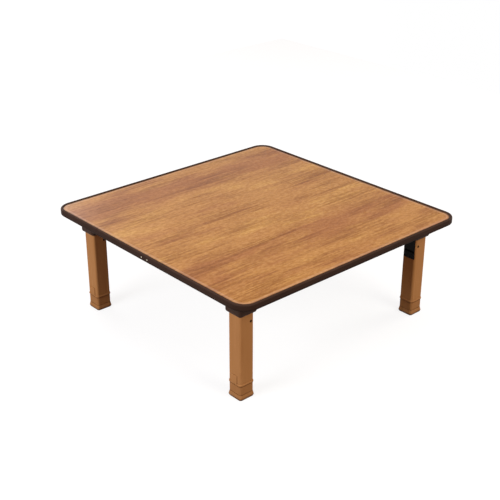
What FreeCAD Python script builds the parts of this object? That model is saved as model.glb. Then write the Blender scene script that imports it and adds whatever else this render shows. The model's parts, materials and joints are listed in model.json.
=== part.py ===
"""Low folding table: a square wood-grain top with a dark edge band, on four legs that fold flat under it.

Millimetres. The origin is on the floor below the middle of the top, and +Z points up. X runs from left
to right and Y from front to back. Each leg folds in towards the middle of the table, along X.

A leg and everything in it is made once, round the leg's own axis, with +X pointing inwards, and is then
copied to the four corners.
"""
import FreeCAD
import Part

import math
import os

from FreeCAD import Vector

# Table top
top_side = 800.0  # square, over the edge band
table_height = 309.0
top_thickness = 19.0
corner_radius = 44.0  # outer corners, over the edge band
laminate_thickness = 0.8  # wood-grain sheet on the upper face
backing_thickness = 0.6  # plain sheet on the underside

# Edge band: a moulded strip whose barbed tongue is pressed into a groove round the board
band_thickness = 8.0
band_edge_radius = 4.0
lip_height = 2.0  # band above the wood face, rounded down to it
tongue_depth = 9.0
tongue_thickness = 2.6
barb_height = 0.4
barb_pitch = 2.5
groove_clearance = 0.1
seam_gap = 0.3  # between the two ends of the strip
seam_offset = -22.0  # along the left edge of the top, from its middle

# Nails through the two ends of the band
nail_offset = 12.0  # from the seam, each way
nail_radius = 0.7
nail_length = 22.0
nail_head_radius = 1.6
nail_head_height = 0.9

# Legs: square tubes with a window in the inward face
leg_side = 44.6
leg_wall = 3.0
leg_corner_radius = 6.0
leg_bore_radius = 3.0  # inner corners of the tube
leg_inset_x = 73.0  # leg axis from the left or right edge of the top
leg_inset_y = 88.5  # leg axis from the front or back edge of the top
head_gap = 0.3  # between the head of the leg and the bracket
window_height = 62.5  # from the bracket down

# Feet: flared caps whose spigot sits in the leg and whose tongue clips to its outward face
foot_height = 46.5
foot_flare = 2.0  # widest part of the foot beyond the leg, each side
flare_height = 15.0
foot_heel_height = 4.0  # bevelled lower edge
foot_heel_bevel = 1.6
bead_height = 6.0
bead_width = 1.5  # beyond the leg, each side
bead_bevel = 1.3
foot_line_height = 1.6  # grooves above the flare and under the bead
foot_line_depth = 1.4
spigot_length = 32.0
spigot_clearance = 0.2
spigot_wall = 2.5
foot_floor = 5.0
clip_width = 20.0
clip_height = 22.0  # above the bead
clip_thickness = 1.6
clip_bevel = 1.0
clip_clearance = 0.1
clip_knob_radius = 3.0

# Leg brackets: moulded sockets screwed to the underside of the top
bracket_height = 50.0
bracket_margin = 7.0  # beyond the leg, each side
bracket_corner_radius = 8.0
bracket_rim_radius = 7.0  # rounding of the lower rim, towards the leg's own size
bracket_wall = 3.0
bracket_floor = 12.0
flange_width = 14.0
flange_thickness = 4.0
flange_corner_radius = 8.0
rib_thickness = 3.0
rib_height = 24.0
rib_spacing = 26.0
rib_setback = 2.0  # from the rim of the flange

# Countersunk screws that hold the brackets
screw_edge_distance = 10.0
screw_radius = 2.0
screw_length = 15.0
screw_head_radius = 4.0
screw_head_height = 2.2
screw_clearance = 0.05

# Hinge: a black block on the bracket reaches into the leg and turns on a pin
pin_drop = 22.5  # pin below the bracket
pin_inset = 10.0  # pin in from the leg's inward face
pin_radius = 3.0
pin_recess = 2.0  # pin ends below the leg's faces
pin_bevel = 0.5
running_clearance = 0.05
block_clearance = 0.3  # block to the leg's side walls, and below its inward face
block_bevel = 0.8
cam_radius = 18.25
tenon_depth = 20.0  # along X
tenon_width = 26.0  # along Y
tenon_length = 8.0
tenon_clearance = 0.1

# Pan-head screws that hold the tenon in the bracket
tenon_screw_spacing = 14.0
tenon_screw_radius = 2.0
tenon_screw_length = 14.0
tenon_screw_head_radius = 4.0
tenon_screw_head_height = 2.6

# Latch: a button in the leg's window presses a leaf spring, whose tooth then leaves the cam
cam_gap = 1.75  # between the cam and the latch housing
housing_depth = 12.0
housing_wall = 3.6  # above and below the button
housing_cheek = 6.5  # beside the button
housing_clearance = 0.2
housing_knob_radius = 2.5
housing_knob_height = 0.8
tail_length = 24.0
tail_width = 24.0
tail_thickness = 2.5
button_clearance = 0.25
button_lip = 1.8
button_lip_thickness = 2.0
button_travel = 3.0
button_edge_radius = 0.8
button_groove_radius = 1.0
button_groove_pitch = 3.4
nose_side = 8.0
nose_gap = 0.3  # between the button and the spring it presses
spring_thickness = 1.0
spring_width = 14.0
spring_bend_radius = 8.0
spring_room = 2.3  # room behind the spring, as a multiple of the button's travel
tooth_angle = 20.0  # below the level of the pin
tooth_bend_radius = 2.5
tooth_depth = 2.8  # into the cam
notch_clearance = 0.4
rivet_radius = 1.5
rivet_head_radius = 3.0
rivet_head_height = 1.2
rivet_drop = 13.0  # below the housing

# Heights
underside = table_height - top_thickness
bracket_bottom = underside - bracket_height
leg_head = bracket_bottom - head_gap
pin_level = bracket_bottom - pin_drop
window_bottom = bracket_bottom - window_height
wood_face = table_height - lip_height
core_top = wood_face - laminate_thickness
core_bottom = underside + backing_thickness
band_middle = underside + top_thickness / 2

# Table top in plan
board_side = top_side - 2 * band_thickness
board_radius = corner_radius - band_thickness
groove_depth = tongue_depth + groove_clearance
groove_height = tongue_thickness + 2 * (barb_height + groove_clearance)
leg_axis_x = top_side / 2 - leg_inset_x
leg_axis_y = top_side / 2 - leg_inset_y

# Leg in plan
leg_half = leg_side / 2
bore_half = leg_half - leg_wall
pin_x = leg_half - pin_inset
bracket_side = leg_side + 2 * bracket_margin
flange_side = bracket_side + 2 * flange_width
screw_offset = flange_side / 2 - screw_edge_distance

# Hinge block
block_half_width = bore_half - block_clearance
block_face = leg_half - block_clearance
block_back = pin_x - cam_radius
tenon_x = (block_face + block_back) / 2
tenon_web_top = bracket_bottom + bracket_floor
cheek_radius = pin_drop - head_gap

# Latch
housing_top = pin_level - cam_radius - cam_gap
housing_bottom = window_bottom + housing_clearance
housing_half_width = bore_half - housing_clearance
housing_back = block_face - housing_depth
housing_middle = (housing_top + housing_bottom) / 2
button_half_width = housing_half_width - housing_cheek
button_half_height = (housing_top - housing_bottom) / 2 - housing_wall
tail_front = bore_half - housing_clearance
tail_back = tail_front - tail_thickness
tail_bottom = housing_bottom - tail_length
rivet_level = housing_bottom - rivet_drop
spring_x = -bore_half + spring_room * button_travel + spring_thickness / 2

UP = Vector(0, 0, 1)
INWARDS = Vector(1, 0, 0)
ALONG_PIN = Vector(0, 1, 0)
CORNERS = {
    "front_left": (-1, -1),
    "front_right": (1, -1),
    "back_left": (-1, 1),
    "back_right": (1, 1),
}


def bent_path(points, radii):
    """Straight runs through the points, with a tangent arc of the given radius at each inner point."""
    edges = []
    start = points[0]
    for before, corner, after, radius in zip(points, points[1:], points[2:], radii):
        backward = (before - corner).normalize()
        forward = (after - corner).normalize()
        half_angle = backward.getAngle(forward) / 2
        reach = radius / math.tan(half_angle)
        centre = corner + (backward + forward).normalize() * (radius / math.sin(half_angle))
        middle = centre + (corner - centre).normalize() * radius
        edges.append(Part.LineSegment(start, corner + backward * reach).toShape())
        edges.append(Part.Arc(corner + backward * reach, middle, corner + forward * reach).toShape())
        start = corner + forward * reach
    edges.append(Part.LineSegment(start, points[-1]).toShape())
    return Part.Wire(edges)


def square_wire(side, radius, level):
    """Closed square outline with rounded corners, centred on the Z axis."""
    half = side / 2
    points = [(0, -half), (half, -half), (half, half), (-half, half), (-half, -half), (0, -half)]
    return bent_path([Vector(x, y, level) for x, y in points], [radius] * 4)


def square_slab(side, radius, bottom, top):
    """Upright square block with rounded corners, centred on the Z axis."""
    return Part.Face(square_wire(side, radius, bottom)).extrude(UP * (top - bottom))


def block(x_range, y_range, z_range):
    """Plain box between two corners."""
    low = Vector(x_range[0], y_range[0], z_range[0])
    sizes = [span[1] - span[0] for span in (x_range, y_range, z_range)]
    return Part.makeBox(*sizes, low)


def both_ways(half):
    """Range from -half to +half."""
    return (-half, half)


def cross_rod(radius, x, z, half_length):
    """Round rod along the pin's direction, centred on the leg."""
    return Part.makeCylinder(radius, 2 * half_length, Vector(x, -half_length, z), ALONG_PIN)


def edges_at_level(shape, level):
    """Edges that lie flat at one height."""
    return [edge for edge in shape.Edges if all(abs(v.Z - level) < 1e-6 for v in edge.Vertexes)]


def at_leg(shape, side_x, side_y):
    """Copy of a piece made round the leg's axis, put at one corner of the table."""
    placed = shape.copy()
    if side_x > 0:
        placed.rotate(Vector(0, 0, 0), UP, 180)
    placed.translate(Vector(side_x * leg_axis_x, side_y * leg_axis_y, 0))
    return placed


def countersunk(radius, head_radius, head_height, length):
    """Countersunk screw or nail along +Z, with its flat head at the origin."""
    shank = Part.makeCylinder(radius, length)
    return shank.fuse(Part.makeCone(head_radius, radius, head_height)).removeSplitter()


# Table top


def nail(gap):
    """Nails at both ends of the band, heads flush with it, with the given gap added all round."""
    pieces = []
    for step in (-nail_offset, nail_offset):
        piece = countersunk(nail_radius + gap, nail_head_radius + gap, nail_head_height + gap,
                            nail_length + gap)
        piece.rotate(Vector(0, 0, 0), ALONG_PIN, 90)
        piece.translate(Vector(-top_side / 2, seam_offset + step, band_middle))
        pieces.append(piece)
    return pieces


def bracket_screws(gap):
    """The four countersunk screws of one bracket, driven up into the board."""
    pieces = []
    for x in (-screw_offset, screw_offset):
        for y in (-screw_offset, screw_offset):
            piece = countersunk(screw_radius + gap, screw_head_radius + gap, screw_head_height + gap,
                                screw_length + gap)
            piece.translate(Vector(x, y, underside - flange_thickness))
            pieces.append(piece)
    return pieces


def make_core():
    """Board with a groove round its edge for the band, and holes for the screws and nails."""
    core = square_slab(board_side, board_radius, core_bottom, core_top)
    groove_low = band_middle - groove_height / 2
    groove_high = band_middle + groove_height / 2
    inner_radius = board_radius - groove_depth
    ring = square_slab(board_side, board_radius, groove_low, groove_high)
    ring = ring.cut(square_slab(board_side - 2 * groove_depth, inner_radius, groove_low, groove_high))
    holes = nail(screw_clearance)
    for side_x, side_y in CORNERS.values():
        holes += [at_leg(screw, side_x, side_y) for screw in bracket_screws(screw_clearance)]
    return core.cut([ring] + holes)


def make_backing():
    """Sheet on the underside of the board."""
    sheet = square_slab(board_side, board_radius, underside, core_bottom)
    holes = []
    for side_x, side_y in CORNERS.values():
        holes += [at_leg(screw, side_x, side_y) for screw in bracket_screws(screw_clearance)]
    return sheet.cut(holes)


def band_profile(foot):
    """Section of the edge band in the XZ plane: a rounded rim, a lip and a barbed tongue towards +X."""
    half = tongue_thickness / 2
    rim = band_thickness - band_edge_radius
    lower = underside - band_middle
    upper = table_height - band_middle
    wood = wood_face - band_middle
    slant = band_edge_radius * (1 - math.sqrt(0.5))
    lip_slant = lip_height * (1 - math.sqrt(0.5))

    def spot(depth, height):
        return foot + Vector(depth, 0, height)

    upper_side = [(0, half)]
    for step in (1, 2, 3):
        upper_side.append((step * barb_pitch, half))
        upper_side.append((step * barb_pitch, half + barb_height))
    tip = [(tongue_depth, half), (tongue_depth, -half)]
    lower_side = [(depth, -height) for depth, height in reversed(upper_side)]
    inner_side = [(0, wood)] + upper_side + tip + lower_side + [(0, lower), (-rim, lower)]
    inner_spots = [spot(*point) for point in inner_side]
    edges = [Part.LineSegment(a, b).toShape() for a, b in zip(inner_spots, inner_spots[1:])]
    edges.append(Part.Arc(spot(-rim, lower), spot(slant - band_thickness, lower + slant),
                          spot(-band_thickness, lower + band_edge_radius)).toShape())
    edges.append(Part.LineSegment(spot(-band_thickness, lower + band_edge_radius),
                                  spot(-band_thickness, upper - band_edge_radius)).toShape())
    edges.append(Part.Arc(spot(-band_thickness, upper - band_edge_radius),
                          spot(slant - band_thickness, upper - slant), spot(-rim, upper)).toShape())
    edges.append(Part.LineSegment(spot(-rim, upper), spot(-lip_height, upper)).toShape())
    edges.append(Part.Arc(spot(-lip_height, upper), spot(-lip_slant, upper - lip_slant),
                          spot(0, wood)).toShape())
    return Part.Wire(edges)


def make_band():
    """Edge band, bent round the board from one side of its seam to the other."""
    half = board_side / 2
    start = Vector(-half, seam_offset + seam_gap / 2, band_middle)
    end = Vector(-half, seam_offset - seam_gap / 2, band_middle)
    corners = [Vector(x * half, y * half, band_middle) for x, y in ((-1, 1), (1, 1), (1, -1), (-1, -1))]
    path = bent_path([start] + corners + [end], [board_radius] * 4)
    strip = path.makePipeShell([band_profile(start)], True, False)
    return Part.Solid(strip).cut(nail(screw_clearance))


# Bracket and hinge block


def tenon_screws(gap):
    """Pan-head screws that go down through the bracket into the block's tenon."""
    pieces = []
    for y in (-tenon_screw_spacing / 2, tenon_screw_spacing / 2):
        seat = Vector(tenon_x, y, tenon_web_top)
        shank = Part.makeCylinder(tenon_screw_radius + gap, tenon_screw_length + gap, seat, -UP)
        head = Part.makeCylinder(tenon_screw_head_radius, tenon_screw_head_height, seat, UP)
        rim = edges_at_level(head, tenon_web_top + tenon_screw_head_height)
        pieces.append(head.makeChamfer(tenon_screw_head_height / 3, rim).fuse(shank).removeSplitter())
    return pieces


def make_bracket():
    """Moulded socket: flange with ribs, hollow square body and a rounded rim round the head of the leg."""
    body = square_slab(bracket_side, bracket_corner_radius, bracket_bottom, underside)
    rim_radius = min(bracket_rim_radius, bracket_corner_radius - bracket_wall / 4)
    body = body.makeFillet(rim_radius, edges_at_level(body, bracket_bottom))
    flange_bottom = underside - flange_thickness
    flange = square_slab(flange_side, flange_corner_radius, flange_bottom, underside)

    face = bracket_side / 2
    reach = face + flange_width - rib_setback
    root = face - bracket_wall / 2
    rib_bottom = flange_bottom - rib_height
    corners = [(root, flange_bottom), (reach, flange_bottom), (face, rib_bottom), (root, rib_bottom),
               (root, flange_bottom)]
    rib_outline = Part.makePolygon([Vector(x, -rib_thickness / 2, z) for x, z in corners])
    rib = Part.Face(rib_outline).extrude(ALONG_PIN * rib_thickness)
    ribs = []
    for turn in range(4):
        for y in (-rib_spacing / 2, rib_spacing / 2):
            copy = rib.copy()
            copy.translate(ALONG_PIN * y)
            copy.rotate(Vector(0, 0, 0), UP, 90 * turn)
            ribs.append(copy)

    hollow = square_slab(bracket_side - 2 * bracket_wall, bracket_corner_radius - bracket_wall,
                         tenon_web_top, underside)
    mortise_reach = tenon_depth / 2 + tenon_clearance
    mortise = block((tenon_x - mortise_reach, tenon_x + mortise_reach),
                    both_ways(tenon_width / 2 + tenon_clearance),
                    (bracket_bottom, bracket_bottom + tenon_length + tenon_clearance))
    holes = [hollow, mortise] + bracket_screws(screw_clearance) + tenon_screws(screw_clearance)
    return body.fuse([flange] + ribs).cut(holes).removeSplitter()


def notch(angle):
    """Slot in the cam for the spring's tooth, at an angle about the pin."""
    half = spring_thickness / 2 + notch_clearance
    inner = cam_radius - tooth_depth - notch_clearance
    slot = block((inner, cam_radius + block_bevel), both_ways(spring_width / 2 + notch_clearance),
                 both_ways(half))
    slot.rotate(Vector(0, 0, 0), ALONG_PIN, -angle)
    slot.translate(Vector(pin_x, 0, pin_level))
    return slot


def make_hinge_block():
    """Block fixed to the bracket: a tenon above, and a cam round the pin with a notch for each position."""
    half = block_half_width
    full = block((block_back, block_face), both_ways(half), (pin_level, bracket_bottom))
    round_end = cross_rod(cam_radius, pin_x, pin_level, half)
    below = block((block_back, block_face), both_ways(half), (pin_level - cam_radius, pin_level))
    cam = full.fuse(round_end.common(below)).removeSplitter()
    upright = [edge for edge in cam.Edges if edge.Length > pin_drop / 2
               and abs(edge.tangentAt(edge.FirstParameter).z) > 1 - 1e-6]
    cam = cam.makeChamfer(block_bevel, upright)
    tenon = block((tenon_x - tenon_depth / 2, tenon_x + tenon_depth / 2), both_ways(tenon_width / 2),
                  (bracket_bottom, bracket_bottom + tenon_length))
    bore = cross_rod(pin_radius + running_clearance, pin_x, pin_level, leg_half)
    cuts = [bore, notch(180 + tooth_angle), notch(270 + tooth_angle)] + tenon_screws(screw_clearance)
    return cam.fuse(tenon).cut(cuts).removeSplitter()


# Leg


def make_leg():
    """Square tube, open on its inward face beside the hinge, with side walls that clear the bracket."""
    tube = square_slab(leg_side, leg_corner_radius, foot_height, leg_head)
    bore = square_slab(2 * bore_half, leg_bore_radius, foot_height, leg_head)
    window = block((bore_half - leg_bore_radius, leg_half), both_ways(bore_half), (window_bottom, leg_head))
    pin_hole = cross_rod(pin_radius + screw_clearance, pin_x, pin_level, leg_half)
    corner = block((pin_x, leg_half), both_ways(leg_half), (pin_level, leg_head))
    corner = corner.cut(cross_rod(cheek_radius, pin_x, pin_level, leg_half))
    knob_hole = cross_rod(housing_knob_radius + housing_clearance,
                          housing_back + housing_depth / 2, housing_middle,
                          housing_half_width + housing_knob_height + housing_clearance)
    clip_hole = Part.makeCylinder(clip_knob_radius + clip_clearance, leg_wall + leg_bore_radius,
                                  Vector(-leg_half, 0, foot_height + clip_height / 2), INWARDS)
    return tube.cut([bore, window, pin_hole, corner, knob_hole, clip_hole]).removeSplitter()


def make_pin():
    """Hinge pin, fast in the leg's side walls."""
    half = leg_half - pin_recess
    pin = cross_rod(pin_radius, pin_x, pin_level, half)
    ends = [edge for edge in pin.Edges if len(edge.Vertexes) == 1]
    return pin.makeChamfer(pin_bevel, ends)


def foot_line(bottom):
    """Groove round the foot, from the given height up."""
    top = bottom + foot_line_height
    ring = square_slab(leg_side + 2 * foot_line_depth, leg_corner_radius, bottom, top)
    core_side = leg_side - 2 * foot_line_depth
    return ring.cut(square_slab(core_side, leg_corner_radius - foot_line_depth, bottom, top))


def make_foot():
    """Cap on the lower end of the leg: flared base, bead, hollow spigot and a clip on the outward face."""
    heel_side = leg_side + 2 * (foot_flare - foot_heel_bevel)
    heel = square_wire(heel_side, leg_corner_radius, 0)
    widest = square_wire(leg_side + 2 * foot_flare, leg_corner_radius, foot_heel_height)
    waist = square_wire(leg_side, leg_corner_radius, flare_height)
    base = Part.makeLoft([heel, widest, waist], True, True)
    body = square_slab(leg_side, leg_corner_radius, flare_height, foot_height)

    bead_bottom = foot_height - bead_height
    bead = square_slab(leg_side + 2 * bead_width, leg_corner_radius + bead_width, bead_bottom, foot_height)
    rims = edges_at_level(bead, bead_bottom) + edges_at_level(bead, foot_height)
    bead = bead.makeChamfer(bead_bevel, rims)

    spigot_side = 2 * (bore_half - spigot_clearance)
    spigot_radius = leg_bore_radius + spigot_clearance
    spigot = square_slab(spigot_side, spigot_radius, foot_height, foot_height + spigot_length)
    lead = edges_at_level(spigot, foot_height + spigot_length)
    spigot = spigot.makeChamfer(spigot_radius / 2, lead)

    clip_inner = -leg_half - clip_clearance
    clip_outer = clip_inner - clip_thickness
    clip_top = foot_height + clip_height
    clip = block((clip_outer, clip_inner), both_ways(clip_width / 2),
                 (bead_bottom + bead_height / 2, clip_top))
    outer_rim = [e for e in clip.Edges if all(abs(v.X - clip_outer) < 1e-6 for v in e.Vertexes)
                 and any(v.Z > foot_height for v in e.Vertexes)]
    clip = clip.makeChamfer(clip_bevel, outer_rim)
    knob = Part.makeCylinder(clip_knob_radius, clip_clearance + leg_wall,
                             Vector(clip_inner, 0, foot_height + clip_height / 2), INWARDS)

    hollow_side = spigot_side - 2 * spigot_wall
    hollow = square_slab(hollow_side, spigot_radius, foot_floor, foot_height + spigot_length)
    lines = [foot_line(flare_height), foot_line(bead_bottom - foot_line_height)]
    return base.fuse([body, bead, spigot, clip, knob]).cut([hollow] + lines).removeSplitter()


# Latch


def rivet_hole():
    """Hole through the housing's tail and the spring."""
    length = tail_thickness + spring_thickness + 2 * rivet_head_height
    start = Vector(tail_front, 0, rivet_level)
    return Part.makeCylinder(rivet_radius + screw_clearance, length, start, -INWARDS)


def make_housing():
    """Guide for the button, in the lower part of the window, with a tail behind the leg's inward wall."""
    guide = block((housing_back, block_face), both_ways(housing_half_width), (housing_bottom, housing_top))
    front = [e for e in guide.Edges if all(abs(v.X - block_face) < 1e-6 for v in e.Vertexes)]
    guide = guide.makeChamfer(block_bevel, front)
    tail = block((tail_back, tail_front), both_ways(tail_width / 2),
                 (tail_bottom, housing_bottom + housing_wall))
    knobs = cross_rod(housing_knob_radius, housing_back + housing_depth / 2, housing_middle,
                      housing_half_width + housing_knob_height)
    opening = block((housing_back, block_face), both_ways(button_half_width + button_clearance),
                    (housing_middle - button_half_height - button_clearance,
                     housing_middle + button_half_height + button_clearance))
    sink = Part.makeCone(rivet_head_radius, rivet_radius, rivet_head_height,
                         Vector(tail_front, 0, rivet_level), -INWARDS)
    return guide.fuse([tail, knobs]).cut([opening, rivet_hole(), sink]).removeSplitter()


def make_button():
    """Push button: ridged cap, lip behind the housing and a nose that reaches the spring."""
    cap = block((housing_back, block_face), both_ways(button_half_width),
                (housing_middle - button_half_height, housing_middle + button_half_height))
    front = [e for e in cap.Edges if all(abs(v.X - block_face) < 1e-6 for v in e.Vertexes)]
    cap = cap.makeFillet(button_edge_radius, front)
    lip_back = housing_back - button_clearance - button_lip_thickness
    lip_half_height = button_half_height + button_lip
    lip = block((lip_back, housing_back - button_clearance), both_ways(button_half_width + button_lip),
                (housing_middle - lip_half_height, housing_middle + lip_half_height))
    neck = block((housing_back - button_clearance, housing_back), both_ways(button_half_width),
                 (housing_middle - button_half_height, housing_middle + button_half_height))
    nose = block((spring_x + spring_thickness / 2 + nose_gap, lip_back), both_ways(nose_side / 2),
                 (housing_middle - nose_side / 2, housing_middle + nose_side / 2))
    grooves = []
    for step in (-1, 0, 1):
        axis_x = block_face + button_groove_radius / 2
        grooves.append(cross_rod(button_groove_radius, axis_x, housing_middle + step * button_groove_pitch,
                                 button_half_width - 2 * button_edge_radius))
    return cap.fuse([lip, neck, nose]).cut(grooves).removeSplitter()


def make_spring():
    """Leaf spring: from the housing's tail round to the outward side, up past the button, to its tooth."""
    lead_x = tail_back - spring_thickness / 2
    turn_level = tail_bottom - spring_bend_radius
    slope = math.radians(tooth_angle)
    root_radius = (pin_x - spring_x) / math.cos(slope)
    tip_radius = cam_radius - tooth_depth

    def on_tooth(radius):
        return Vector(pin_x - radius * math.cos(slope), 0, pin_level - radius * math.sin(slope))

    points = [Vector(lead_x, 0, housing_bottom - housing_clearance), Vector(lead_x, 0, turn_level),
              Vector(spring_x, 0, turn_level), on_tooth(root_radius), on_tooth(tip_radius)]
    path = bent_path(points, [spring_bend_radius, spring_bend_radius, tooth_bend_radius])
    half_width = spring_width / 2
    half_thickness = spring_thickness / 2
    corners = [(-1, -1), (1, -1), (1, 1), (-1, 1), (-1, -1)]
    outline = [points[0] + Vector(x * half_thickness, y * half_width, 0) for x, y in corners]
    section = Part.makePolygon(outline)
    leaf = Part.Solid(path.makePipeShell([section], True, False))
    return leaf.cut(rivet_hole())


def make_rivet():
    """Rivet through the tail and the spring: flush head in the tail, bevelled head on the spring."""
    start = Vector(tail_front, 0, rivet_level)
    grip = tail_thickness + spring_thickness
    flush = Part.makeCone(rivet_head_radius - screw_clearance, rivet_radius, rivet_head_height, start,
                          -INWARDS)
    shank = Part.makeCylinder(rivet_radius, grip, start, -INWARDS)
    head = Part.makeCylinder(rivet_head_radius, rivet_head_height, start - INWARDS * grip, -INWARDS)
    outer = [e for e in head.Edges if len(e.Vertexes) == 1 and e.Vertexes[0].X < start.x - grip - 1e-6]
    head = head.makeChamfer(rivet_head_height / 2, outer)
    return flush.fuse([shank, head]).removeSplitter()


# Assembly

nodes = {
    "top_core": make_core(),
    "top_laminate": square_slab(board_side, board_radius, core_top, wood_face),
    "backing_sheet": make_backing(),
    "edge_band": make_band(),
    "edge_band_nails": Part.makeCompound(nail(0)),
}

leg_pieces = {
    "leg_bracket": make_bracket(),
    "hinge_block": make_hinge_block(),
    "leg": make_leg(),
    "foot": make_foot(),
    "hinge_pin": make_pin(),
    "latch_housing": make_housing(),
    "catch_spring": make_spring(),
    "spring_rivet": make_rivet(),
    "push_button": make_button(),
}
for piece_name, piece in leg_pieces.items():
    for corner_name, (side_x, side_y) in CORNERS.items():
        nodes[piece_name + "_" + corner_name] = at_leg(piece, side_x, side_y)

shared_screws = {"bracket_screws": bracket_screws(0), "hinge_block_screws": tenon_screws(0)}
for group_name, screws in shared_screws.items():
    copies = [at_leg(screw, side_x, side_y) for side_x, side_y in CORNERS.values() for screw in screws]
    nodes[group_name] = Part.makeCompound(copies)

os.makedirs("parts", exist_ok=True)
for node_name, shape in nodes.items():
    shape.exportStep("parts/" + node_name + ".step")
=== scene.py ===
"""Low folding table: finishes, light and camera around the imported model."""

import json
import math

import bmesh
import bpy
from mathutils import Matrix, Vector


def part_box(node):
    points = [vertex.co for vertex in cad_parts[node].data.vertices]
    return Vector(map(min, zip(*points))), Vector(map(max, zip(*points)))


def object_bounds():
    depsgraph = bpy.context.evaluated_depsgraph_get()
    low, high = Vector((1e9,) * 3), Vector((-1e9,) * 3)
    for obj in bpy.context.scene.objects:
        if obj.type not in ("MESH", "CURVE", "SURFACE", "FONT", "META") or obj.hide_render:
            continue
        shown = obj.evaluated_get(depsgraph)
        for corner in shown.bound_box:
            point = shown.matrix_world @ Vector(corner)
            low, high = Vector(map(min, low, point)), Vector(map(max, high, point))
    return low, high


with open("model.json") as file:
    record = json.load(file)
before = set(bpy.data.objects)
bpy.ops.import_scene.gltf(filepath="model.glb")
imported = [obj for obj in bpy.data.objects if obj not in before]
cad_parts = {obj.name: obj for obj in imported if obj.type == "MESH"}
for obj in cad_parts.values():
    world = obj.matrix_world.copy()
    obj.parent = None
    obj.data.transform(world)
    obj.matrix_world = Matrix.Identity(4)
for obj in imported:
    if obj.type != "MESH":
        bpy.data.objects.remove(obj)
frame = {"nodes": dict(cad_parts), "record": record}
nodes = frame["nodes"]
cad_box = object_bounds()

# Camera, fitted to the photograph: angles in degrees, lengths in metres
camera_azimuth = -41.98107
camera_elevation = 25.68763
camera_roll = 0.12263
camera_distance = 2.80802
camera_slide_right = 0.013575
camera_slide_up = 0.10918
camera_lens = 72.386  # mm
camera_sensor = 36.0  # mm

# Light: 1 lights a white surface to plain white. Lengths are in metres
sky_level = 0.19
ceiling_level = 0.30
left_wall_level = 0.60
left_wall_fade = (-0.35, 0.15)  # sideways part of the direction: full on the left, none ahead
wall_top_fade = (0.1, 0.6)  # upward part of the direction: wall, then ceiling
fill_tint = (1.0, 0.55, 0.37)
white = (1.0, 1.0, 1.0)
floor_half_side = 2.3
floor_bounce = 0.10
floor_glow = 0.82
floor_shade = 0.22


# Shader maths


class Value:
    """A shader socket that takes part in Python arithmetic: each operation adds a Math node."""

    def __init__(self, finish, socket):
        self.finish = finish
        self.socket = socket

    def _math(self, operation, first, second):
        return self.finish.node("ShaderNodeMath", {"operation": operation}, {0: first, 1: second})

    def __add__(self, other):
        return self._math("ADD", self, other)

    def __radd__(self, other):
        return self._math("ADD", other, self)

    def __sub__(self, other):
        return self._math("SUBTRACT", self, other)

    def __rsub__(self, other):
        return self._math("SUBTRACT", other, self)

    def __mul__(self, other):
        return self._math("MULTIPLY", self, other)

    def __rmul__(self, other):
        return self._math("MULTIPLY", other, self)


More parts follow.
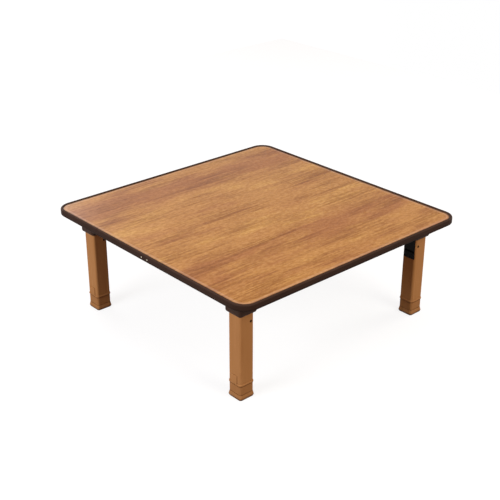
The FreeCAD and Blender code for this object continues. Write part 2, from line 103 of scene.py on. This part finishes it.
class Finish:
    """A material, or the world, built from nodes."""

    def __init__(self, name, owner=None):
        self.owner = owner or bpy.data.materials.new(name)
        self.owner.use_nodes = True
        self.tree = self.owner.node_tree
        self.tree.nodes.clear()

    def node(self, kind, settings=None, sockets=None, output=0):
        """Add a node: its settings first, then the values or links of its sockets. Gives one output."""
        made = self.tree.nodes.new(kind)
        for key, value in (settings or {}).items():
            if key == "stops":
                self._set_stops(made.color_ramp, value)
            else:
                setattr(made, key, value)
        for key, value in (sockets or {}).items():
            if isinstance(value, Value):
                self.tree.links.new(value.socket, made.inputs[key])
            else:
                made.inputs[key].default_value = value
        return Value(self, made.outputs[output]) if made.outputs else None

    @staticmethod
    def _set_stops(ramp, stops):
        ramp.interpolation = "EASE"
        while len(ramp.elements) < len(stops):
            ramp.elements.new(1.0)
        for element, (place, colour) in zip(ramp.elements, stops):
            element.position = place
            element.color = (*colour, 1.0)

    def place(self):
        """Position on the piece, in metres."""
        return self.node("ShaderNodeTexCoord", output="Object")

    def along(self, place, axis):
        """One coordinate of a position."""
        return self.node("ShaderNodeSeparateXYZ", None, {0: place}, output=axis)

    def at(self, x, y, z):
        """A position from its three coordinates."""
        return self.node("ShaderNodeCombineXYZ", None, {0: x, 1: y, 2: z})

    def noise(self, place, scale, detail=2.0, roughness=0.5, offset=(0.0, 0.0, 0.0)):
        """Soft noise between 0 and 1, with its own scale, in features a metre, along each axis."""
        where = self.node("ShaderNodeMapping", None,
                          {"Vector": place, "Location": offset, "Scale": scale})
        return self.node("ShaderNodeTexNoise", None,
                         {"Vector": where, "Scale": 1.0, "Detail": detail, "Roughness": roughness})

    def ramp(self, value, stops):
        """A colour for each value, eased between the stops."""
        return self.node("ShaderNodeValToRGB", {"stops": stops}, {0: value})

    def mix(self, factor, first, second, kind="MIX"):
        """Colour between two others."""
        return self.node("ShaderNodeMix", {"data_type": "RGBA", "blend_type": kind},
                         {0: factor, 6: first, 7: second}, output=2)

    def spread(self, value, low, high, to_low=0.0, to_high=1.0):
        """A value's range stretched or squeezed into another, and kept inside it."""
        return self.node("ShaderNodeMapRange", {"interpolation_type": "SMOOTHSTEP"},
                         {0: value, 1: low, 2: high, 3: to_low, 4: to_high})

    def vector(self, operation, first, second=(0.0, 0.0, 0.0)):
        """A vector worked out from one or two others."""
        return self.node("ShaderNodeVectorMath", {"operation": operation}, {0: first, 1: second})

    def length(self, vector):
        """How long a vector is."""
        return self.node("ShaderNodeVectorMath", {"operation": "LENGTH"}, {0: vector}, output="Value")

    def inset(self, x, y, half_side, radius):
        """Distance in from the rim of a square with round corners, level further in than the radius."""
        straight = half_side - radius
        aside = self.vector("ABSOLUTE", self.at(x, y, 0.0))
        past = self.vector("SUBTRACT", aside, (straight, straight, 0.0))
        return radius - self.length(self.vector("MAXIMUM", past))

    def away(self, place, middle, axes):
        """Distance from a place and from its mirror images, along the axes marked with 1."""
        gap = self.vector("SUBTRACT", self.vector("ABSOLUTE", place), middle)
        return self.length(self.vector("MULTIPLY", gap, axes))

    def openness(self, reach):
        """1 on an open face, less in corners and grooves, felt over the reach given."""
        return self.node("ShaderNodeAmbientOcclusion", {"samples": 8}, {"Distance": reach}, "AO")

    def surface(self, sockets, bump=None, bump_height=0.0):
        """Finish the material with a Principled surface, and with a bump if one is given."""
        sockets = dict(sockets)
        if bump is not None:
            relief = {"Height": bump, "Distance": bump_height, "Strength": 1.0}
            sockets["Normal"] = self.node("ShaderNodeBump", None, relief)
        shader = self.node("ShaderNodeBsdfPrincipled", None, sockets)
        self.node("ShaderNodeOutputMaterial", None, {"Surface": shader})
        return self.owner


def rgba(red, green, blue):
    """A colour as a socket takes it."""
    return (red, green, blue, 1.0)


def grey(level):
    """A grey for a ramp or a tint."""
    return (level, level, level)


# Heights of the bumps, in metres
fibre_height = 0.00003
flake_height = 0.0002
pebble_height = 0.00004
steel_line_height = 0.00001


# Finishes of the table top

wood_half_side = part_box("top_laminate")[1].x
wood_corner_radius = 0.036
grain_wander = 0.02

# Lines along the rim of the wood, in metres in from it: a pale painted highlight, and a dark painted
# shade line beside the lip.
# The painted shade line is moved towards the right and the back, because it shows on those sides only
painted_highlight_outside = (0.0035, 0.0060)
painted_highlight_inside = (0.0120, 0.0080)
painted_highlight_shift = 0.0012
painted_shade_line_inside = (0.0036, 0.0014)
painted_shade_line_shift_right = 0.0036
painted_shade_line_shift_back = 0.0026

# Broad bands of the printed veneer, from the front edge to the back one: 0 is red-brown, 1 is golden
veneer_tones = (
    (0.00, 0.48), (0.14, 0.49), (0.26, 0.35), (0.41, 0.65),
    (0.52, 0.49), (0.71, 0.60), (0.88, 0.29), (0.96, 0.54),
)


def wood_grain_top():
    """Wood-grain laminate, half gloss: bands, blotches, streaks and fibres along X."""
    finish = Finish("wood_grain_top")
    place = finish.place()
    x = finish.along(place, 0)
    y = finish.along(place, 1)
    wander = finish.noise(place, (1.6, 3.0, 1.0), detail=2.0)
    across = y + (wander - 0.5) * grain_wander
    grain = finish.at(x, across, 0.0)
    table_depth = cad_box[1][1] - cad_box[0][1]
    band_tone = finish.ramp((across - cad_box[0][1]) * (1.0 / table_depth),
                            [(place_across, grey(tone)) for place_across, tone in veneer_tones])
    bands = finish.noise(grain, (2.6, 8.0, 1.0), detail=2.0, offset=(3.1, 0.7, 0.0))
    blotches = finish.noise(grain, (6.0, 22.0, 1.0), detail=3.0, roughness=0.55,
                            offset=(1.7, 4.2, 0.0))
    streaks = finish.noise(grain, (6.0, 45.0, 1.0), detail=2.0, roughness=0.6)
    threads = finish.noise(grain, (4.5, 120.0, 1.0), detail=3.0, roughness=0.65,
                           offset=(0.0, 5.0, 0.0))
    fibres = finish.noise(grain, (40.0, 600.0, 1.0), detail=2.0, roughness=0.6)
    tone = band_tone + (bands - 0.5) * 0.35 + (blotches - 0.5) * 0.7 + (streaks - 0.5) * 0.25
    colour = finish.ramp(tone, [
        (0.00, (0.238, 0.079, 0.022)),
        (0.30, (0.355, 0.138, 0.037)),
        (0.55, (0.458, 0.214, 0.056)),
        (0.80, (0.557, 0.296, 0.076)),
        (1.00, (0.628, 0.357, 0.104)),
    ])
    lines = finish.spread(threads * 0.65 + streaks * 0.15 + fibres * 0.2, 0.36, 0.64)
    patches = finish.noise(grain, (5.0, 17.0, 1.0), offset=(7.0, 2.0, 0.0))
    strength = finish.spread(patches, 0.38, 0.66, 0.20, 1.0)
    shades = finish.ramp(lines, [(0.0, (0.60, 0.49, 0.24)), (1.0, grey(1.0))])
    colour = finish.mix(strength, colour, shades, "MULTIPLY")
    pores = finish.spread(finish.noise(grain, (30.0, 900.0, 1.0), detail=1.0), 0.64, 0.74)
    colour = finish.mix(pores * 0.35, colour, rgba(0.17, 0.05, 0.012))
    specks = finish.noise(grain, (75.0, 130.0, 1.0), detail=2.0, roughness=0.6)
    flecks = finish.mix(finish.spread(specks, 0.35, 0.65),
                        rgba(0.88, 0.82, 0.66), rgba(1.10, 1.15, 1.30))
    colour = finish.mix(1.0, colour, flecks, "MULTIPLY")
    # Painted highlight: a pale line along the rim of the wood, just inside the lip
    rim = finish.inset(x + painted_highlight_shift, y + painted_highlight_shift, wood_half_side, wood_corner_radius)
    painted_highlight_mask = finish.spread(rim, *painted_highlight_inside) * finish.spread(rim, *painted_highlight_outside)
    colour = finish.mix(painted_highlight_mask * 0.2, colour, rgba(0.72, 0.47, 0.36))
    # Painted shade: a dark line in the wood beside the lip, on the right and back sides
    rim = finish.inset(x + painted_shade_line_shift_right, y + painted_shade_line_shift_back,
                       wood_half_side, wood_corner_radius)
    dark = finish.spread(rim, *painted_shade_line_inside)
    colour = finish.mix(dark * 0.8, colour, rgba(0.045, 0.018, 0.009))
    roughness = 0.30 + (streaks - 0.5) * 0.1 + (fibres - 0.5) * 0.06 + pores * 0.1
    height = fibres * 0.35 + streaks * 0.3 - pores
    return finish.surface({"Base Color": colour, "Roughness": roughness, "Specular IOR Level": 0.2},
                          height, fibre_height)


def board():
    """Chipboard: pale and dark flakes."""
    finish = Finish("board")
    place = finish.place()
    flakes = finish.noise(place, (160.0, 160.0, 420.0), detail=3.0, roughness=0.65)
    colour = finish.ramp(flakes, [
        (0.30, (0.20, 0.105, 0.045)),
        (0.50, (0.42, 0.26, 0.13)),
        (0.70, (0.58, 0.40, 0.23)),
    ])
    return finish.surface({"Base Color": colour, "Roughness": 0.75 + (flakes - 0.5) * 0.2},
                          flakes, flake_height)


def backing():
    """Brown backing paper under the board, with faint fibres and cloudy patches."""
    finish = Finish("backing")
    place = finish.place()
    clouds = finish.noise(place, (5.0, 5.0, 1.0), detail=3.0)
    fibres = finish.noise(place, (70.0, 700.0, 1.0), detail=2.0, roughness=0.6)
    tone = 0.5 + (clouds - 0.5) * 0.6 + (fibres - 0.5) * 0.5
    colour = finish.ramp(tone, [
        (0.20, (0.29, 0.175, 0.095)),
        (0.50, (0.37, 0.235, 0.135)),
        (0.80, (0.45, 0.30, 0.18)),
    ])
    return finish.surface({"Base Color": colour, "Roughness": 0.58 + (clouds - 0.5) * 0.14,
                           "Specular IOR Level": 0.35}, fibres, fibre_height)


# Finishes of the plastic pieces

band_low, band_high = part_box("edge_band")
pin_low, pin_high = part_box("hinge_pin_front_right")

# Marks on the legs, in metres: the heights where each begins and is full, the reach of the painted
# shade in creases, and the rim of the painted shade in the pin hole from the middle of the pin
scuff_heights = (0.02, 0.0)
foot_shade_heights = (0.055, 0.035)
floor_contact_shade_heights = (0.0085, 0.0025)
floor_contact_shade_wander = 0.002
crease_shade_reach = 0.004
pin_hole_shade_rim = (0.0041, 0.0033)


def edge_band():
    """Dark brown plastic edging with fine lines along its length, with painted shade by height: darkest
    at its lower rim, lightest at its top.
    """
    finish = Finish("edge_band")
    place = finish.place()
    lines = finish.noise(place, (5.0, 5.0, 900.0), detail=2.0, roughness=0.6)
    clouds = finish.noise(place, (14.0, 14.0, 40.0), detail=2.0)
    tone = 0.5 + (lines - 0.5) * 0.6 + (clouds - 0.5) * 0.5
    colour = finish.ramp(tone, [
        (0.15, (0.034, 0.018, 0.011)),
        (0.50, (0.051, 0.028, 0.020)),
        (0.85, (0.076, 0.044, 0.033)),
    ])
    # Painted shade by height: strong at the lower rim, slight at the top edge
    height = (finish.along(place, 2) - band_low.z) * (1.0 / (band_high.z - band_low.z))
    shades = finish.ramp(height, [
        (0.00, grey(0.30)),
        (0.20, grey(0.54)),
        (0.42, grey(0.72)),
        (0.80, grey(0.75)),
        (1.00, grey(0.93)),
    ])
    colour = finish.mix(1.0, colour, shades, "MULTIPLY")
    return finish.surface({"Base Color": colour, "Roughness": 0.5 + (clouds - 0.5) * 0.2,
                           "Specular IOR Level": 0.02}, lines, fibre_height)


def bracket_plastic():
    """Dark brown moulded plastic with a fine pebbled face."""
    finish = Finish("bracket_plastic")
    place = finish.place()
    pebbles = finish.noise(place, (1500.0, 1500.0, 1500.0), detail=1.0)
    clouds = finish.noise(place, (30.0, 30.0, 30.0), detail=3.0)
    tone = 0.5 + (clouds - 0.5) * 0.8 + (pebbles - 0.5) * 0.3
    colour = finish.ramp(tone, [
        (0.15, (0.031, 0.016, 0.011)),
        (0.50, (0.048, 0.026, 0.018)),
        (0.85, (0.070, 0.040, 0.028)),
    ])
    return finish.surface({"Base Color": colour, "Roughness": 0.55 + (clouds - 0.5) * 0.2,
                           "Specular IOR Level": 0.05}, pebbles, pebble_height)


def leg_plastic():
    """Wood-brown moulded plastic with faint upright streaks, a little scuffed near the floor; painted
    shade darkens the foot, its bottom edge, its creases and the pin hole.
    """
    finish = Finish("leg_plastic")
    place = finish.place()
    z = finish.along(place, 2)
    streaks = finish.noise(place, (150.0, 150.0, 5.0), detail=3.0, roughness=0.6)
    clouds = finish.noise(place, (24.0, 24.0, 9.0), detail=2.0)
    pebbles = finish.noise(place, (1700.0, 1700.0, 1700.0), detail=1.0)
    tone = 0.5 + (streaks - 0.5) * 0.55 + (clouds - 0.5) * 0.5 + (pebbles - 0.5) * 0.12
    colour = finish.ramp(tone, [
        (0.10, (0.345, 0.139, 0.045)),
        (0.50, (0.448, 0.208, 0.074)),
        (0.90, (0.550, 0.277, 0.110)),
    ])
    scratches = finish.spread(finish.noise(place, (90.0, 90.0, 200.0)), 0.45, 0.7)
    scuffs = finish.spread(z, *scuff_heights) * scratches
    colour = finish.mix(scuffs * 0.35, colour, rgba(0.36, 0.24, 0.15))
    foot_shade = finish.spread(z, *foot_shade_heights)
    colour = finish.mix(foot_shade * 0.22, colour, rgba(0.16, 0.055, 0.016))
    # Painted shade: the foot darkens to near black at its bottom edge, by the floor
    contact_shade_mask = finish.spread(z + (clouds - 0.5) * floor_contact_shade_wander, *floor_contact_shade_heights)
    colour = finish.mix(contact_shade_mask * 0.65, colour, rgba(0.060, 0.020, 0.007))
    # Painted shade in creases and grooves, from how open each spot is
    crease_shade_mask = finish.spread(finish.openness(crease_shade_reach), 0.95, 0.45)
    colour = finish.mix(crease_shade_mask * 0.6, colour, rgba(0.085, 0.028, 0.009))
    # Painted shade: near black in and around the pin hole
    from_pin = finish.away(place, (pin_low + pin_high) / 2, (1.0, 0.0, 1.0))
    pin_hole_shade_mask = finish.spread(from_pin, *pin_hole_shade_rim)
    colour = finish.mix(pin_hole_shade_mask * 0.95, colour, rgba(0.010, 0.004, 0.002))
    roughness = 0.42 + (clouds - 0.5) * 0.16 + scuffs * 0.2
    return finish.surface({"Base Color": colour, "Roughness": roughness, "Specular IOR Level": 0.03},
                          pebbles * 0.7 + streaks * 0.6, pebble_height)


def black_plastic():
    """Black nylon of the hinge and latch pieces."""
    finish = Finish("black_plastic")
    place = finish.place()
    pebbles = finish.noise(place, (1300.0, 1300.0, 1300.0), detail=2.0)
    clouds = finish.noise(place, (60.0, 60.0, 60.0), detail=2.0)
    colour = finish.ramp(clouds, [
        (0.30, (0.0040, 0.0035, 0.0032)),
        (0.70, (0.0090, 0.0080, 0.0072)),
    ])
    return finish.surface({"Base Color": colour, "Roughness": 0.55 + (clouds - 0.5) * 0.2,
                           "Specular IOR Level": 0.05}, pebbles, pebble_height)


# Finishes of the metal pieces


def metal(name, dark, light, roughness, line_scale):
    """Worked steel: cloudy tone, and fine lines at the scale given for each axis."""
    finish = Finish(name)
    place = finish.place()
    clouds = finish.noise(place, (180.0, 180.0, 180.0), detail=3.0)
    lines = finish.noise(place, line_scale, detail=2.0, roughness=0.6)
    tone = 0.5 + (clouds - 0.5) * 0.9 + (lines - 0.5) * 0.5
    colour = finish.ramp(tone, [(0.2, dark), (0.8, light)])
    return finish.surface({"Base Color": colour, "Metallic": 1.0,
                           "Roughness": roughness + (clouds - 0.5) * 0.2}, lines, steel_line_height)


# Fine lines of the steel, in features a metre along each axis
turned_all_over = (2500.0, 2500.0, 2500.0)
turned_along_y = (2500.0, 300.0, 2500.0)
rolled_upright = (900.0, 3000.0, 200.0)

finishes = {
    "wood_grain_top": wood_grain_top(),
    "board": board(),
    "backing": backing(),
    "edge_band": edge_band(),
    "bracket_plastic": bracket_plastic(),
    "leg_plastic": leg_plastic(),
    "black_plastic": black_plastic(),
    # The pin's steel is near black as painted shade, for the hole in the leg where it sits
    "pin_steel": metal("pin_steel", dark=(0.003, 0.003, 0.003), light=(0.010, 0.009, 0.008),
                       roughness=0.5, line_scale=turned_along_y),
    "spring_steel": metal("spring_steel", dark=(0.22, 0.23, 0.25), light=(0.42, 0.43, 0.45),
                          roughness=0.32, line_scale=rolled_upright),
    "screw_steel": metal("screw_steel", dark=(0.42, 0.39, 0.32), light=(0.66, 0.63, 0.55),
                         roughness=0.33, line_scale=turned_all_over),
    "nail_steel": metal("nail_steel", dark=(0.72, 0.62, 0.46), light=(0.92, 0.84, 0.68),
                        roughness=0.38, line_scale=turned_all_over),
}
slot_of = {part["node"]: part["material_slot"] for part in frame["record"]["subparts"]}
for name, piece in nodes.items():
    piece.data.materials.clear()
    piece.data.materials.append(finishes[slot_of[name]])


# Stage


def seen_directly(finish):
    """1 for what the camera, a gloss or a clear surface sees, 0 for light that only bounces."""
    rays = [finish.node("ShaderNodeLightPath", output=kind)
            for kind in ("Is Camera Ray", "Is Glossy Ray", "Is Transmission Ray")]
    return finish.node("ShaderNodeClamp", None, {0: rays[0] + rays[1] + rays[2]})


def floor_finish():
    """White floor that keeps a soft shadow of the table, and gives less bounce than it shows."""
    finish = Finish("floor")
    bounce_colour = rgba(*(floor_bounce * part for part in fill_tint))
    bounce = finish.node("ShaderNodeBsdfDiffuse", None, {"Color": bounce_colour})
    shade = finish.node("ShaderNodeBsdfDiffuse", None, {"Color": rgba(*grey(floor_shade))})
    glow = finish.node("ShaderNodeEmission", None, {"Color": rgba(*white), "Strength": floor_glow})
    shown = finish.node("ShaderNodeAddShader", None, {0: shade, 1: glow})
    direct = seen_directly(finish)
    shader = finish.node("ShaderNodeMixShader", None, {0: direct, 1: bounce, 2: shown})
    finish.node("ShaderNodeOutputMaterial", None, {"Surface": shader})
    finish.owner.cycles.emission_sampling = "NONE"
    return finish.owner


def make_floor():
    """Level floor, as far as the lamps light it to white. Past it the white walls show."""
    mesh = bpy.data.meshes.new("floor")
    sheet = bmesh.new()
    bmesh.ops.create_grid(sheet, x_segments=1, y_segments=1, size=floor_half_side)
    sheet.to_mesh(mesh)
    sheet.free()
    floor = bpy.data.objects.new("floor", mesh)
    bpy.context.scene.collection.objects.link(floor)
    mesh.materials.append(floor_finish())


def hang_lamp(name, lamp, place, aim):
    """Put a lamp in its place and turn it to its aim."""
    light = bpy.data.objects.new(name, lamp)
    bpy.context.scene.collection.objects.link(light)
    light.location = place
    light.rotation_euler = (Vector(aim) - Vector(place)).to_track_quat("-Z", "Y").to_euler()


def make_softbox(name, place, aim, size, level, tint):
    """Round soft lamp that lights a surface facing it, at its aim, to the given level."""
    lamp = bpy.data.lights.new(name, "AREA")
    lamp.shape = "DISK"
    lamp.size = size
    lamp.color = tint
    lamp.energy = level * math.pi ** 2 * (Vector(aim) - Vector(place)).length_squared
    hang_lamp(name, lamp, place, aim)


def make_ceiling_light(name, place, aim, spread_angle, level):
    """Even light from far above, which reaches the whole floor."""
    lamp = bpy.data.lights.new(name, "SUN")
    lamp.angle = math.radians(spread_angle)
    lamp.energy = level * math.pi
    hang_lamp(name, lamp, place, aim)


def make_world():
    """White walls, brighter on the left, and a greyer ceiling. Their light is warmer and lower."""
    finish = Finish("studio", bpy.data.worlds.new("studio"))
    direction = finish.node("ShaderNodeTexCoord", output="Generated")
    azimuth = math.radians(camera_azimuth)
    x = finish.along(direction, 0)
    y = finish.along(direction, 1)
    rightward = x * math.cos(azimuth) + y * math.sin(azimuth)
    left_wall = finish.spread(rightward, *left_wall_fade, left_wall_level, 0.0)
    z = finish.along(direction, 2)
    shown = finish.spread(z, *wall_top_fade, 1.0, ceiling_level) + left_wall
    direct = seen_directly(finish)
    level = direct * shown + (1.0 - direct) * sky_level
    tint = finish.mix(direct, rgba(*fill_tint), rgba(*white))
    sky = finish.node("ShaderNodeBackground", None, {"Color": tint, "Strength": level})
    finish.node("ShaderNodeOutputWorld", None, {"Surface": sky})
    bpy.context.scene.world = finish.owner


def make_camera():
    """Camera at the photograph's viewing angle, aimed from the middle of the table top."""
    azimuth = math.radians(camera_azimuth)
    elevation = math.radians(camera_elevation)
    roll = math.radians(camera_roll)
    level_right = Vector((math.cos(azimuth), math.sin(azimuth), 0))
    level_back = Vector((math.sin(azimuth), -math.cos(azimuth), 0))
    back = math.cos(elevation) * level_back + math.sin(elevation) * Vector((0, 0, 1))
    level_up = back.cross(level_right)
    right = math.cos(roll) * level_right + math.sin(roll) * level_up
    up = math.cos(roll) * level_up - math.sin(roll) * level_right
    top_middle = Vector((0, 0, cad_box[1][2]))
    place = top_middle + back * camera_distance - right * camera_slide_right - up * camera_slide_up
    data = bpy.data.cameras.new("camera")
    data.sensor_width = camera_sensor
    data.lens = camera_lens
    camera = bpy.data.objects.new("camera", data)
    turn = Matrix((right, up, back)).transposed().to_4x4()
    camera.matrix_world = Matrix.Translation(place) @ turn
    bpy.context.scene.collection.objects.link(camera)
    bpy.context.scene.camera = camera


make_floor()
make_world()
make_ceiling_light("ceiling_light", place=(0.2, 0.2, 3.0), aim=(0.0, 0.0, 0.3),
                   spread_angle=60.0, level=0.36)
make_softbox("left_softbox", place=(-2.6, 0.1, 1.35), aim=(-0.3, -0.1, 0.2),
             size=1.6, level=0.88, tint=(0.96, 1.0, 1.08))
make_softbox("right_softbox", place=(0.3, -2.6, 1.7), aim=(0.0, -0.3, 0.2),
             size=1.6, level=0.63, tint=(1.0, 0.98, 0.92))
make_softbox("back_softbox", place=(0.1, 2.9, 1.4), aim=(0.0, 0.3, 0.2),
             size=2.0, level=0.38, tint=white)
make_softbox("far_softbox", place=(2.8, -0.7, 1.1), aim=(0.3, 0.0, 0.2),
             size=1.4, level=0.45, tint=(1.0, 0.98, 0.94))
make_camera()
bpy.context.scene.view_settings.view_transform = "Standard"
